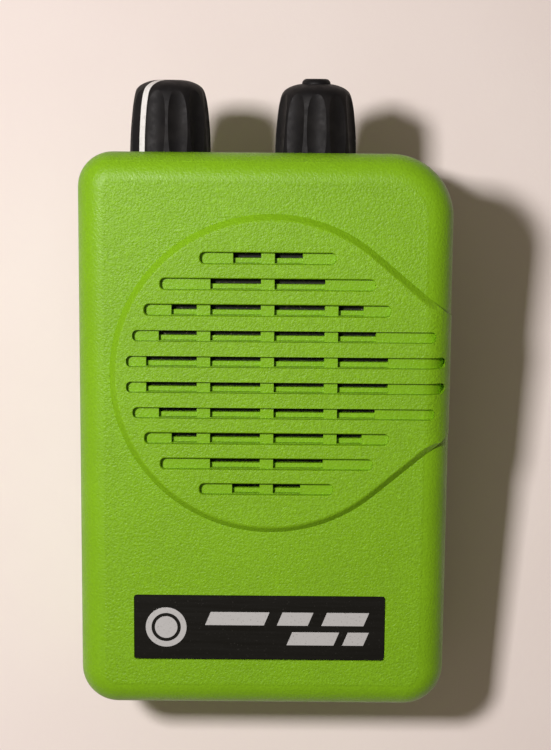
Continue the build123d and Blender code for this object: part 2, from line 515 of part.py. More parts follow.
RADIO_FRONT = RADIO_Y - RADIO_T
with BuildPart() as receiver_board:
    bar(across(RADIO_Y), [(0, RADIO_Z)], RADIO_W, RADIO_H, RADIO_T, 0.8)
receiver_board.part.label = "receiver_board"
export_step(receiver_board.part, "parts/receiver_board.step")

CANS = [(-9.5, 18.5), (10.0, 17.0)]
with BuildPart() as receiver_shields:
    for x, w in CANS:
        bar(across(RADIO_FRONT - EPS), [(x, RADIO_Z)], w, CAN_H, CAN_T, 0.8)
        inner = (w - 2 * CAN_WALL, CAN_H - 2 * CAN_WALL, CAN_T + EPS - CAN_WALL)
        bar(across(RADIO_FRONT), [(x, RADIO_Z)], *inner, mode=Mode.SUBTRACT)
receiver_shields.part.label = "receiver_shields"
export_step(receiver_shields.part, "parts/receiver_shields.step")

RADIO_CHIPS = [(-13, 24, 6, 6), (-5, 23, 5, 4), (-12, 15, 4, 3), (5.5, 22, 5, 6), (13.5, 17, 6, 5)]
with BuildPart() as receiver_chips:
    for x, z, w, h in RADIO_CHIPS:
        bar(across(RADIO_FRONT - EPS), [(x, z)], w, h, RADIO_CHIP_T)
receiver_chips.part.label = "receiver_chips"
export_step(receiver_chips.part, "parts/receiver_chips.step")

with BuildPart() as board_connectors:
    bar(across(BOARD_Y - EPS), [(0, z) for z in PLUG_Z], PLUG_W, PLUG_H, BOARD_Y - RADIO_Y - 2 * EPS)
board_connectors.part.label = "board_connectors"
export_step(board_connectors.part, "parts/board_connectors.step")

# Loop antenna across the back, above the battery
ANTENNA_SPOT = [(ANTENNA_Y, ANTENNA_Z)]
with BuildPart() as antenna_core:
    disc(beside(-CORE_L / 2), ANTENNA_SPOT, CORE_R, CORE_L)
antenna_core.part.label = "antenna_core"
export_step(antenna_core.part, "parts/antenna_core.step")

with BuildPart() as antenna_winding:
    disc(beside(-WIND_L / 2), ANTENNA_SPOT, WIND_R, WIND_L, CORE_R + EPS)
    for turn in range(TURNS):
        left = (turn - (TURNS - 1) / 2) * TURN_PITCH - TURN_W / 2
        disc(beside(left), ANTENNA_SPOT, TURN_R, TURN_W, CORE_R + 0.1)
antenna_winding.part.label = "antenna_winding"
export_step(antenna_winding.part, "parts/antenna_winding.step")

with BuildPart() as antenna_saddles:
    for x in SADDLE_X:
        bar(beside(x), [(ANTENNA_Y + 1.3, ANTENNA_Z)], SADDLE_D, SADDLE_H, SADDLE_W)
    disc(beside(-THROUGH / 2), ANTENNA_SPOT, CORE_R + EPS, THROUGH, mode=Mode.SUBTRACT)
    bar(beside(-THROUGH / 2), [(ANTENNA_Y - 3, ANTENNA_Z)], 6, 3.6, THROUGH, mode=Mode.SUBTRACT)
antenna_saddles.part.label = "antenna_saddles"
export_step(antenna_saddles.part, "parts/antenna_saddles.step")

# Controls
SHAFT_TOP = CASE_H + KNOB_GAP + SHAFT_L


def control_body(spot):
    """A square control body with its threaded bush, bored for a shaft and pocketed for the rotor."""
    bar(level(CONTROL_Z), [spot], CONTROL_W, CONTROL_W, CONTROL_TOP - CONTROL_Z, 0.8)
    disc(level(CONTROL_TOP - 0.1), [spot], BUSH_R, CASE_H + NUT_T + 0.2 - CONTROL_TOP)
    disc(level(CONTROL_Z - OVER), [spot], SHAFT_R + RUN_GAP, THROUGH, mode=Mode.SUBTRACT)
    disc(level(CONTROL_Z), [spot], ROTOR_R + 0.3, ROTOR_Z + ROTOR_T + 0.1 - CONTROL_Z, mode=Mode.SUBTRACT)


def control_shaft(spot):
    """A round shaft with a rotor disc below and a flat at the knob end."""
    disc(level(ROTOR_Z - FOOT), [spot], SHAFT_R, SHAFT_TOP - ROTOR_Z + FOOT)
    disc(level(ROTOR_Z), [spot], ROTOR_R, ROTOR_T)
    flat = [(spot[0], spot[1] + SHAFT_R + 1.0)]
    bar(level(CASE_H + NUT_T + OVER), flat, FLAT_W, FLAT_D, THROUGH, mode=Mode.SUBTRACT)


with BuildPart() as selector_switch:
    control_body(CONTROL_SPOTS[0])
selector_switch.part.label = "selector_switch"
export_step(selector_switch.part, "parts/selector_switch.step")

with BuildPart() as volume_control:
    control_body(CONTROL_SPOTS[1])
volume_control.part.label = "volume_control"
export_step(volume_control.part, "parts/volume_control.step")

with BuildPart() as selector_shaft:
    control_shaft(CONTROL_SPOTS[0])
selector_shaft.part.label = "selector_shaft"
export_step(selector_shaft.part, "parts/selector_shaft.step")

with BuildPart() as volume_shaft:
    control_shaft(CONTROL_SPOTS[1])
    disc(level(CONTROL_Z), [CONTROL_SPOTS[1]], PUSH_R + RUN_GAP, THROUGH, mode=Mode.SUBTRACT)
volume_shaft.part.label = "volume_shaft"
export_step(volume_shaft.part, "parts/volume_shaft.step")

with BuildPart() as control_covers:
    bar(level(CONTROL_Z - COVER_T - EPS), CONTROL_SPOTS, COVER_W, COVER_W, COVER_T, 0.6)
control_covers.part.label = "control_covers"
export_step(control_covers.part, "parts/control_covers.step")

with BuildPart() as control_gaskets:
    gasket_t = CASE_H - WALL - CONTROL_TOP - 2 * EPS
    disc(level(CONTROL_TOP + EPS), CONTROL_SPOTS, GASKET_R, gasket_t, BUSH_R + EPS)
control_gaskets.part.label = "control_gaskets"
export_step(control_gaskets.part, "parts/control_gaskets.step")

with BuildPart() as control_nuts:
    with BuildSketch(level(CASE_H + EPS), mode=Mode.PRIVATE) as nut:
        with Locations(*CONTROL_SPOTS):
            RegularPolygon(NUT_R, 6)
            Circle(BUSH_R + EPS, mode=Mode.SUBTRACT)
    extrude(nut.sketch, amount=NUT_T)
control_nuts.part.label = "control_nuts"
export_step(control_nuts.part, "parts/control_nuts.step")


def barrel(spot, height, shrink):
    """A knob barrel that narrows upwards into a domed crown, optionally shrunk all round."""
    side = [(r - shrink if r else 0.0, share * (height - shrink)) for r, share in KNOB_PROFILE]
    with BuildPart(mode=Mode.PRIVATE) as knob:
        with BuildSketch(Plane(origin=(*spot, CASE_H + KNOB_GAP), x_dir=(1, 0, 0), z_dir=(0, -1, 0))):
            with BuildLine():
                Spline(*side, tangents=((0, 1), (-1, 0)))
                Line(side[-1], (0, 0))
                Line((0, 0), side[0])
            make_face()
        revolve(axis=Axis((*spot, 0), (0, 0, 1)))
    return knob.part


def cut_flutes(spot, ridge_deg):
    """Cuts shallow scallops round a knob, leaving ridges starting at the given angle."""
    reach = KNOB_PROFILE[0][0] - FLUTE_DEPTH + FLUTE_R
    with Locations(Plane(origin=(*spot, CASE_H + KNOB_GAP))):
        with PolarLocations(reach, FLUTES, start_angle=ridge_deg + 180 / FLUTES):
            Cylinder(FLUTE_R, 3 * SELECTOR_H, rotation=(0, -FLUTE_LEAN, 0), mode=Mode.SUBTRACT)


def hollow_knob(spot):
    """Bores a knob for its shaft and relieves it over the nut."""
    base = CASE_H + KNOB_GAP
    disc(level(base - 0.1), [spot], KNOB_CAVITY_R, KNOB_CAVITY_H, mode=Mode.SUBTRACT)
    disc(level(base), [spot], SHAFT_R + FIT_GAP, SHAFT_TOP - base + 0.05, mode=Mode.SUBTRACT)


barrel_full = barrel(CONTROL_SPOTS[0], SELECTOR_H, 0.0)
barrel_core = barrel(CONTROL_SPOTS[0], SELECTOR_H, POINTER_T)
pointer_turn = Plane(origin=(SELECTOR_X, CONTROL_Y, CASE_H), x_dir=(cos(radians(POINTER_DEG)),
                     sin(radians(POINTER_DEG)), 0), z_dir=(0, 0, 1))


def pointer_slab(width, start, base):
    """A radial slab from near the knob's axis out past its side."""
    with BuildPart(mode=Mode.PRIVATE) as slab:
        with BuildSketch(pointer_turn.offset(base)):
            with Locations(((start + 10) / 2, 0)):
                Rectangle(10 - start, width)
        extrude(amount=20)
    return slab.part


slot_slab = pointer_slab(POINTER_W + 2 * FIT_GAP, 1.5, KNOB_GAP + 0.3) - barrel_core
bar_slab = pointer_slab(POINTER_W, 1.5 + FIT_GAP, KNOB_GAP + 0.3 + FIT_GAP) & barrel_full
core_grown = barrel(CONTROL_SPOTS[0], SELECTOR_H, POINTER_T - FIT_GAP)
pointer_body = bar_slab - core_grown

with BuildPart() as selector_knob:
    add(barrel_full)
    cut_flutes(CONTROL_SPOTS[0], SELECTOR_RIDGE_DEG)
    hollow_knob(CONTROL_SPOTS[0])
    add(slot_slab, mode=Mode.SUBTRACT)
selector_knob.part.label = "selector_knob"
export_step(selector_knob.part, "parts/selector_knob.step")

with BuildPart() as selector_pointer:
    add(pointer_body)
selector_pointer.part.label = "selector_pointer"
export_step(selector_pointer.part, "parts/selector_pointer.step")

volume_barrel = barrel(CONTROL_SPOTS[1], VOLUME_H, 0.0)
with BuildPart() as volume_knob:
    add(volume_barrel)
    cut_flutes(CONTROL_SPOTS[1], VOLUME_RIDGE_DEG)
    hollow_knob(CONTROL_SPOTS[1])
    disc(level(SHAFT_TOP - 0.1), [CONTROL_SPOTS[1]], BUTTON_R + RUN_GAP, 8, mode=Mode.SUBTRACT)
volume_knob.part.label = "volume_knob"
export_step(volume_knob.part, "parts/volume_knob.step")

BUTTON_Z = SHAFT_TOP + BUTTON_TRAVEL + 0.15
with BuildPart() as monitor_button:
    disc(level(BUTTON_Z), [CONTROL_SPOTS[1]], BUTTON_R, CASE_H + BUTTON_TOP - BUTTON_Z)
    fillet(monitor_button.faces().sort_by(Axis.Z)[-1].edges(), 0.8)
    disc(level(ROTOR_Z - 2.4), [CONTROL_SPOTS[1]], PUSH_R, BUTTON_Z - ROTOR_Z + 2.5)
monitor_button.part.label = "monitor_button"
export_step(monitor_button.part, "parts/monitor_button.step")

with BuildPart() as monitor_switch:
    bar(level(CONTROL_Z + EPS), [CONTROL_SPOTS[1]], SWITCH_W, SWITCH_W, SWITCH_T, 0.3)
    disc(level(CONTROL_Z + SWITCH_T), [CONTROL_SPOTS[1]], DOME_R, DOME_T)
monitor_switch.part.label = "monitor_switch"
export_step(monitor_switch.part, "parts/monitor_switch.step")

# Message lamp and its light pipe
with BuildPart() as indicator_lens:
    disc(level(BOARD_Z1 + 2.2), [(LENS_X, CONTROL_Y)], LENS_R, CASE_H - BOARD_Z1 - 2.4)
    fillet(indicator_lens.faces().sort_by(Axis.Z)[-1].edges(), 0.25)
indicator_lens.part.label = "indicator_lens"
export_step(indicator_lens.part, "parts/indicator_lens.step")

with BuildPart() as indicator_lamp:
    bar(level(BOARD_Z1 + EPS), [(LENS_X, CONTROL_Y)], LAMP_W, LAMP_D, LAMP_T, 0.3)
    bar(level(BOARD_Z1 + LAMP_T), [(LENS_X, CONTROL_Y)], CHIP_W, CHIP_W, 0.8, 0.3)
indicator_lamp.part.label = "indicator_lamp"
export_step(indicator_lamp.part, "parts/indicator_lamp.step")

# Vibrator
MOTOR_SPOT = [(MOTOR_X, MOTOR_Y)]
MOTOR_TOP = MOTOR_Z + MOTOR_L
with BuildPart() as vibrator_motor:
    disc(level(MOTOR_Z), MOTOR_SPOT, MOTOR_R, MOTOR_L)
    disc(level(MOTOR_TOP), MOTOR_SPOT, MOTOR_NOSE_R, MOTOR_NOSE_T)
    disc(level(MOTOR_TOP - AXLE_DEEP), MOTOR_SPOT, AXLE_R + RUN_GAP, 2 * AXLE_DEEP, mode=Mode.SUBTRACT)
vibrator_motor.part.label = "vibrator_motor"
export_step(vibrator_motor.part, "parts/vibrator_motor.step")

with BuildPart() as vibrator_weight:
    disc(level(MOTOR_TOP + RUN_GAP - AXLE_DEEP), MOTOR_SPOT, AXLE_R, AXLE_DEEP + WEIGHT_L + 1.2)
    disc(level(MOTOR_TOP + 1.0), MOTOR_SPOT, WEIGHT_R, WEIGHT_L)
    half_cut = [(MOTOR_X, MOTOR_Y - 2.7)]
    bar(level(MOTOR_TOP + 0.9), half_cut, 7, 3.4, WEIGHT_L + OVER, mode=Mode.SUBTRACT)
vibrator_weight.part.label = "vibrator_weight"
export_step(vibrator_weight.part, "parts/vibrator_weight.step")

with BuildPart() as vibrator_cradle:
    cradle_spot = [(MOTOR_X, (BOARD_BACK + MOTOR_Y) / 2)]
    bar(level(MOTOR_Z + 1.5), cradle_spot, CRADLE_W, MOTOR_Y - BOARD_BACK - 2 * EPS, CRADLE_H, 0.5)
    disc(level(MOTOR_Z), MOTOR_SPOT, MOTOR_R + EPS, THROUGH, mode=Mode.SUBTRACT)
vibrator_cradle.part.label = "vibrator_cradle"
export_step(vibrator_cradle.part, "parts/vibrator_cradle.step")

# Battery pack, its contacts and its door
CELL_SPOTS = [(side * CELL_PITCH, CELL_Y) for side in (-1, 0, 1)]
with BuildPart() as battery_cells:
    disc(level(CELL_Z), CELL_SPOTS, CELL_R, CELL_L)
    fillet(battery_cells.edges().filter_by(GeomType.CIRCLE), CELL_EDGE)
    disc(level(CELL_Z + CELL_L), CELL_SPOTS, CELL_TIP_R, CELL_TIP_L)
battery_cells.part.label = "battery_cells"
export_step(battery_cells.part, "parts/battery_cells.step")

with BuildPart() as battery_sleeve:
    with BuildSketch(level(CELL_Z + 0.6), mode=Mode.PRIVATE) as wrap:
        with Locations((0, CELL_Y)):
            inner = CELL_R + 0.03
            outer = inner + SLEEVE_T
            RectangleRounded(2 * (CELL_PITCH + outer), 2 * outer, outer - 0.08)
            RectangleRounded(2 * (CELL_PITCH + inner), 2 * inner, CELL_R, mode=Mode.SUBTRACT)
    extrude(wrap.sketch, amount=CELL_L - 1.2)
battery_sleeve.part.label = "battery_sleeve"
export_step(battery_sleeve.part, "parts/battery_sleeve.step")

with BuildPart() as battery_plates:
    for z in (BAY_Z1 - TAB_T - EPS, BAY_Z0 + EPS):
        bar(level(z), CELL_SPOTS, TAB_W, TAB_D, TAB_T)
battery_plates.part.label = "battery_plates"
export_step(battery_plates.part, "parts/battery_plates.step")

with BuildPart() as battery_springs:
    for x, y in CELL_SPOTS:
        with BuildLine(mode=Mode.PRIVATE) as coil:
            Helix(pitch=SPRING_PITCH, height=SPRING_H, radius=SPRING_R, center=(x, y, BAY_Z0 + 0.62))
        with BuildSketch(Plane(origin=coil.line @ 0, z_dir=coil.line % 0), mode=Mode.PRIVATE) as wire:
            Circle(SPRING_WIRE_R)
        sweep(wire.sketch, path=coil.line, is_frenet=True)
battery_springs.part.label = "battery_springs"
export_step(battery_springs.part, "parts/battery_springs.step")

door_block = case_block(0.0, REAR_D, REAR_EDGE_R)
DOOR_Y = REAR_D - DOOR_T
with BuildPart() as battery_door:
    add(door_block)
    bar(across(REAR_D + OVER), [(0, DOOR_Z1 - 30)], DOOR_W, 60, 1 + DOOR_T, mode=Mode.INTERSECT)
    flange_w = DOOR_W + 2 * FLANGE_W - 0.1
    bar(across(DOOR_Y + FLANGE_T), [(0, (DOOR_Z1 + OVER) / 2)], flange_w, DOOR_Z1 - OVER, FLANGE_T)
    grips = [(0, GRIP_Z + GRIP_PITCH * step) for step in range(5)]
    bar(across(REAR_D + OVER), grips, GRIP_W, GRIP_H, OVER + GRIP_D, 0.35, Mode.SUBTRACT)
battery_door.part.label = "battery_door"
export_step(battery_door.part, "parts/battery_door.step")

with BuildPart() as rear_label:
    bar(across(REAR_D + LABEL_T + EPS), [(0, LABEL_Z)], LABEL_W, LABEL_H, LABEL_T, 1.5)
rear_label.part.label = "rear_label"
export_step(rear_label.part, "parts/rear_label.step")

# Belt clip
with BuildPart() as clip_bracket:
    base_spot = [(0, (BRACKET_Z0 + BRACKET_Z1) / 2)]
    bar(across(REAR_D + EPS + BRACKET_T), base_spot, BRACKET_W, BRACKET_Z1 - BRACKET_Z0, BRACKET_T, 1.2)
    for side in (-1, 1):
        ear = beside(side * (BRACKET_W - EAR_T) / 2 - EAR_T / 2)
        bar(ear, [((PIVOT_Y + REAR_D + OVER) / 2, PIVOT_Z)], PIVOT_Y - REAR_D - OVER, 2 * KNUCKLE_R, EAR_T)
        disc(ear, [(PIVOT_Y, PIVOT_Z)], KNUCKLE_R, EAR_T)
    disc(beside(-THROUGH / 2), [(PIVOT_Y, PIVOT_Z)], PIN_R, THROUGH, mode=Mode.SUBTRACT)
    over_base = REAR_D + BRACKET_T + OVER
    disc(across(over_base), clip_spots, SCREW_R + 0.15, THROUGH, mode=Mode.SUBTRACT)
    disc(across(over_base), clip_spots, HEAD_R + 0.15, over_base - REAR_D - 1.1, mode=Mode.SUBTRACT)
clip_bracket.part.label = "clip_bracket"
export_step(clip_bracket.part, "parts/clip_bracket.step")

CLIP_BACK_Y = CLIP_Y + CLIP_T
CLIP_INNER = [(8.35, 23.2), (9.6, 26.0), (12.4, 30.8), (14.7, 37.5), (CLIP_Y, 48.0), (CLIP_Y, 60.0),
              (CLIP_Y, 72.0), (CLIP_Y - 0.5, 81.0)]
CLIP_OUTER = [(CLIP_BACK_Y - 0.9, 81.6), (CLIP_BACK_Y, 72.0), (CLIP_BACK_Y, 60.0), (CLIP_BACK_Y, 48.0),
              (16.6, 37.0), (14.2, 29.8), (11.3, 24.8), (10.0, 22.4)]
with BuildPart() as belt_clip:
    with BuildSketch(beside(-CLIP_W / 2), mode=Mode.PRIVATE) as blade:
        with BuildLine():
            inner = Spline(*CLIP_INNER)
            Line(CLIP_INNER[-1], CLIP_OUTER[0])
            outer = Spline(*CLIP_OUTER)
            Line(outer @ 1, inner @ 0)
        make_face()
    extrude(blade.sketch, amount=CLIP_W)
    bar(across(THROUGH), [(0, 52.0)], CLIP_W, 59.4, THROUGH, 3.5, Mode.INTERSECT)
    for side in (-1, 1):
        cheek = beside(side * (CLIP_W - KNUCKLE_W) / 2 - KNUCKLE_W / 2)
        disc(cheek, [(PIVOT_Y, PIVOT_Z)], KNUCKLE_R, KNUCKLE_W)
        bar(cheek, [((PIVOT_Y + CLIP_Y) / 2, PIVOT_Z)], CLIP_Y - PIVOT_Y + 0.4, 2 * KNUCKLE_R, KNUCKLE_W)
    disc(beside(-THROUGH / 2), [(PIVOT_Y, PIVOT_Z)], PIN_R + RUN_GAP, THROUGH, mode=Mode.SUBTRACT)
    ridges = [(0, 75.5 + 1.5 * step) for step in range(4)]
    bar(across(CLIP_BACK_Y + OVER), ridges, 16, 0.7, OVER + 0.5, 0.3, Mode.SUBTRACT)
belt_clip.part.label = "belt_clip"
export_step(belt_clip.part, "parts/belt_clip.step")

with BuildPart() as clip_pin:
    disc(beside(-BRACKET_W / 2 - 0.2), [(PIVOT_Y, PIVOT_Z)], PIN_R, BRACKET_W + 0.4)
    chamfer(clip_pin.edges().filter_by(GeomType.CIRCLE), 0.2)
clip_pin.part.label = "clip_pin"
export_step(clip_pin.part, "parts/clip_pin.step")

with BuildPart() as clip_spring:
    with BuildLine(mode=Mode.PRIVATE) as wind:
        start = (-WIND_SPAN / 2, PIVOT_Y, PIVOT_Z)
        Helix(pitch=WIND_PITCH, height=WIND_SPAN, radius=WIND_RADIUS, center=start, direction=(1, 0, 0))
    with BuildSketch(Plane(origin=wind.line @ 0, z_dir=wind.line % 0), mode=Mode.PRIVATE) as wire:
        Circle(WIND_WIRE_R)
    sweep(wire.sketch, path=wind.line, is_frenet=True)
clip_spring.part.label = "clip_spring"
export_step(clip_spring.part, "parts/clip_spring.step")

with BuildPart() as clip_screws:
    disc(across(REAR_D + 1.15 + CLIP_HEAD_T), clip_spots, HEAD_R, CLIP_HEAD_T)
    disc(across(REAR_D + 1.2), clip_spots, SCREW_R, CLIP_SHANK_L)
clip_screws.part.label = "clip_screws"
export_step(clip_screws.part, "parts/clip_screws.step")

# Side jack and charging studs
with BuildPart() as earphone_jack:
    disc(beside(CASE_W / 2 - 0.2), [(CONTROL_Y, JACK_Z)], JACK_R, -3.0)
    bar(beside(CASE_W / 2 - WALL - 0.05), [(CONTROL_Y, JACK_Z)], JACK_BODY_W, JACK_BODY_W, -JACK_L + WALL, 0.5)
    disc(beside(CASE_W / 2), [(CONTROL_Y, JACK_Z)], JACK_BORE_R, -JACK_L + 1, mode=Mode.SUBTRACT)
earphone_jack.part.label = "earphone_jack"
export_step(earphone_jack.part, "parts/earphone_jack.step")

with BuildPart() as charging_studs:
    disc(level(STUD_SUNK), stud_spots, STUD_R, STUD_L)
    disc(level(WALL + EPS), stud_spots, STUD_RIM_R, STUD_RIM_T)
charging_studs.part.label = "charging_studs"
export_step(charging_studs.part, "parts/charging_studs.step")
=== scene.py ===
import math

import bmesh
import bpy
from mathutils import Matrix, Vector


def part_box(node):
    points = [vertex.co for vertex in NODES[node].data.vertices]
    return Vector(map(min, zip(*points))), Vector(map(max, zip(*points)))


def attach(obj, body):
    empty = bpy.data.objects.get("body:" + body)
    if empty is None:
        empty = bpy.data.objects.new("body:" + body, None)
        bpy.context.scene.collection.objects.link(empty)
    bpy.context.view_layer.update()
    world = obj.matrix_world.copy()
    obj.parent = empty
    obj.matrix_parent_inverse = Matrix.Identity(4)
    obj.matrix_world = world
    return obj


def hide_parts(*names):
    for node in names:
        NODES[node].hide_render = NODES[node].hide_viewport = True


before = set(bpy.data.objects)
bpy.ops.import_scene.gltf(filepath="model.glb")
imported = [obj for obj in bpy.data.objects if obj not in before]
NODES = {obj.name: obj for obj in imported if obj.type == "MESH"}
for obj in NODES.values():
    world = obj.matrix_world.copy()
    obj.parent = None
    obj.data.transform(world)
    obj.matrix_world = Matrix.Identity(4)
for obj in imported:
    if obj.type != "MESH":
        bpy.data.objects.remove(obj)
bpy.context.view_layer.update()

MM = 0.001

# Case planes, read from the frame
SHELL_LOW, SHELL_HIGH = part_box("front_housing")
REAR_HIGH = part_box("rear_housing")[1]
FIELD_Y = SHELL_LOW.y
FIELD_RISE = 1.0 * MM
FACE_Y = FIELD_Y + FIELD_RISE

# The band that holds most values of a noise texture
NOISE_LOW, NOISE_HIGH = 0.3, 0.7

# Shell grain: pebble and fine noise sizes, the size of the painted glints, depth of relief, and the
# share left on the slopes
PEBBLE, FINE, GLINT, GRAIN_DEPTH, SLOPE_GRAIN = 0.4 * MM, 0.22 * MM, 0.33 * MM, 0.13 * MM, 0.65
# Under an outer face the grain is full down to the first depth and fades out by the second
FADE_NEAR, FADE_FAR = 0.02 * MM, 0.1 * MM

# Grille cloth: thread pitch, weave height and how far the threads sit behind the CAD face
WEAVE_PITCH, WEAVE_RISE, WEAVE_SET = 0.8 * MM, 0.06 * MM, 0.08 * MM
WEAVE_STEPS = 4

# Speaker surround: roll width, crown height, the gap behind the crown and the hollow under it
ROLL_W, ROLL_H, ROLL_BACK, ROLL_HOLLOW = 0.33 * MM, 0.3 * MM, 0.1 * MM, 0.28 * MM
ROLL_STEPS, LATHE_STEPS = 8, 96

# Shrink film: thickness, dip between cells, slack in their pitch, grid, creases' height and waves
WRAP_T, WRAP_DIP, WRAP_SLACK = 0.1 * MM, 0.16 * MM, 0.36 * MM
WRAP_ROWS, WRAP_COLUMNS = 24, 160
CREASE_H, CREASE_LONG, CREASE_SHORT, CREASE_SHIFT = 0.05 * MM, 1.1 * MM, 0.37 * MM, 1.3

# Camera: lens and sensor in mm, then the eye's place, a little above the knobs and tilted down
LENS, SENSOR_H, EYE_X, EYE_BACK, EYE_Z = 86.4, 36.0, 1.3 * MM, 278.7 * MM, 104.7 * MM
TILT_DEG, ROLL_DEG = 10.0, -0.5

# Lights aim at the middle of the case; the room is what lights it, and what a camera ray sees
AIM = Vector((0.0, -0.005, 0.045))
ROOM_LIGHT, ROOM_STRENGTH, ROOM_SEEN = (1.0, 0.80, 0.60, 1.0), 0.15, (0.78, 0.74, 0.71, 1.0)

# The floor passes just behind the case's bottom rear edge and just behind the clip at CLIP_TOUCH_Z
CLIP_BACK_Y, CLIP_TOUCH_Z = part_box("belt_clip")[1].y, 48 * MM
# The floor's clearance and half width, and how far in front of it a camera has to be to see it
FLOOR_GAP, FLOOR_HALF, SIDE_REACH = 0.4 * MM, 0.8, 90 * MM


class Shader:
    """A node material built up from short calls; every texture runs in the object's own metres."""

    def __init__(self, name, colour, rough, metallic=0.0, specular=0.5):
        self.material = bpy.data.materials.new(name)
        self.material.use_nodes = True
        self.tree = self.material.node_tree
        self.surface = self.tree.nodes["Principled BSDF"]
        self.surface.inputs["Base Color"].default_value = (*colour, 1.0)
        self.surface.inputs["Roughness"].default_value = rough
        self.surface.inputs["Metallic"].default_value = metallic
        self.surface.inputs["Specular IOR Level"].default_value = specular
        self.coords = self.tree.nodes.new("ShaderNodeTexCoord")
        self.relief = None

    def add(self, kind, inputs, **settings):
        node = self.tree.nodes.new(kind)
        for key, value in settings.items():
            setattr(node, key, value)
        for key, value in inputs.items():
            if isinstance(value, bpy.types.NodeSocket):
                self.tree.links.new(value, node.inputs[key])
            else:
                node.inputs[key].default_value = value
        return node

    def place(self, stretch=(1.0, 1.0, 1.0)):
        """Object coordinates, stretched along the axes."""
        inputs = {"Vector": self.coords.outputs["Object"], "Scale": stretch}
        return self.add("ShaderNodeMapping", inputs).outputs[0]

    def noise(self, size, detail=3.0, stretch=(1.0, 1.0, 1.0)):
        """Cloudy noise whose lumps are about size metres across."""
        inputs = {"Vector": self.place(stretch), "Scale": 1.0 / size, "Detail": detail}
        return self.add("ShaderNodeTexNoise", inputs).outputs["Fac"]

    def cells(self, size, feature="SMOOTH_F1"):
        """Rounded pebbles of about size metres."""
        inputs = {"Vector": self.place(), "Scale": 1.0 / size}
        return self.add("ShaderNodeTexVoronoi", inputs, feature=feature).outputs["Distance"]

    def maths(self, operation, a, b=0.0, c=0.0):
        return self.add("ShaderNodeMath", {0: a, 1: b, 2: c}, operation=operation).outputs[0]

    def spread(self, value, low, high, to_low=0.0, to_high=1.0):
        """Maps low..high onto to_low..to_high, clamped."""
        inputs = {"Value": value, "From Min": low, "From Max": high,
                  "To Min": to_low, "To Max": to_high}
        return self.add("ShaderNodeMapRange", inputs).outputs[0]

    def mix(self, amount, a, b):
        """Blends two colours, each a triple or a socket."""
        node = self.add("ShaderNodeMix", {0: amount}, data_type="RGBA")
        for socket, value in ((node.inputs[6], a), (node.inputs[7], b)):
            if isinstance(value, bpy.types.NodeSocket):
                self.tree.links.new(value, socket)
            else:
                socket.default_value = (*value, 1.0)
        return node.outputs[2]

    def paint(self, colour):
        self.tree.links.new(colour, self.surface.inputs["Base Color"])

    def roughen(self, value):
        self.tree.links.new(value, self.surface.inputs["Roughness"])

    def vary_roughness(self, size, low, high, detail=3.0):
        """Roughness that drifts between low and high over patches of about size metres."""
        self.roughen(self.spread(self.noise(size, detail), NOISE_LOW, NOISE_HIGH, low, high))

    def bump(self, height, depth):
        """Adds a layer of relief of depth metres."""
        inputs = {"Height": height, "Distance": depth, "Strength": 1.0}
        if self.relief is not None:
            inputs["Normal"] = self.relief
        self.relief = self.add("ShaderNodeBump", inputs).outputs[0]
        self.tree.links.new(self.relief, self.surface.inputs["Normal"])

    def axis(self, which, of="Object"):
        """One component of the object coordinate or of the normal."""
        return self.add("ShaderNodeSeparateXYZ", {0: self.coords.outputs[of]}).outputs[which]


def shade(colour, factor):
    """The colour made darker or lighter."""
    return tuple(min(1.0, channel * factor) for channel in colour)


def outer_skin(s):
    """One on the flat outer faces of the shells, none on slopes, grooves and rounded edges."""
    ny = s.maths("ABSOLUTE", s.axis(1, "Normal"))
    facing = s.spread(ny, 0.5, 0.98)
    depth = s.axis(1)
    front = s.spread(depth, FACE_Y + 0.03 * MM, FACE_Y + 0.01 * MM)
    back = s.spread(depth, REAR_HIGH.y - 0.2 * MM, REAR_HIGH.y - 0.05 * MM)
    flat = s.maths("MULTIPLY", facing, s.maths("MAXIMUM", front, back))
    side_x = s.spread(s.maths("ABSOLUTE", s.axis(0)), SHELL_HIGH.x - FADE_FAR, SHELL_HIGH.x - FADE_NEAR)
    top = s.spread(s.axis(2), REAR_HIGH.z - FADE_FAR, REAR_HIGH.z - FADE_NEAR)
    base = s.spread(s.axis(2), FADE_FAR, FADE_NEAR)
    sides = s.maths("MAXIMUM", side_x, s.maths("MAXIMUM", top, base))
    return s.maths("MAXIMUM", flat, sides)


def shell_plastic():
    """Lime-green moulded plastic: spark-eroded pebbles, fainter on slopes and in grooves, with painted
    shade in the low parts of the grain and painted glints on small specks.
    """
    green = (0.196, 0.415, 0.0085)
    s = Shader("shell_plastic", green, 0.4, specular=0.28)
    skin = s.maths("MULTIPLY_ADD", outer_skin(s), 1 - SLOPE_GRAIN, SLOPE_GRAIN)
    pebbles = s.cells(PEBBLE)
    fine = s.noise(FINE)
    grain = s.maths("ADD", s.maths("MULTIPLY", pebbles, 0.6), s.maths("MULTIPLY", fine, 0.8))
    s.bump(s.maths("MULTIPLY", grain, skin), GRAIN_DEPTH)
    cloud = s.noise(14 * MM, 3.0)
    mottle = s.mix(s.spread(cloud, NOISE_LOW, NOISE_HIGH), shade(green, 0.95), shade(green, 1.04))
    pits = s.spread(grain, 0.4, 0.85)
    # Painted highlight: small lighter specks stand for glints off the grain.
    glint_noise = s.spread(s.noise(GLINT, 2.0), 0.55, 0.72)
    # Painted shade: the low parts of the grain on the flat faces are coloured darker.
    pit_shade_mask = s.maths("MULTIPLY", s.maths("SUBTRACT", 1.0, pits), s.maths("MULTIPLY", skin, 0.6))
    pit_shaded = s.mix(pit_shade_mask, mottle, shade(green, 0.7))
    glint_mask = s.maths("MULTIPLY", glint_noise, s.maths("MULTIPLY", skin, 0.5))
    s.paint(s.mix(glint_mask, pit_shaded, shade(green, 1.28)))
    s.vary_roughness(3 * MM, 0.34, 0.44)
    return s.material


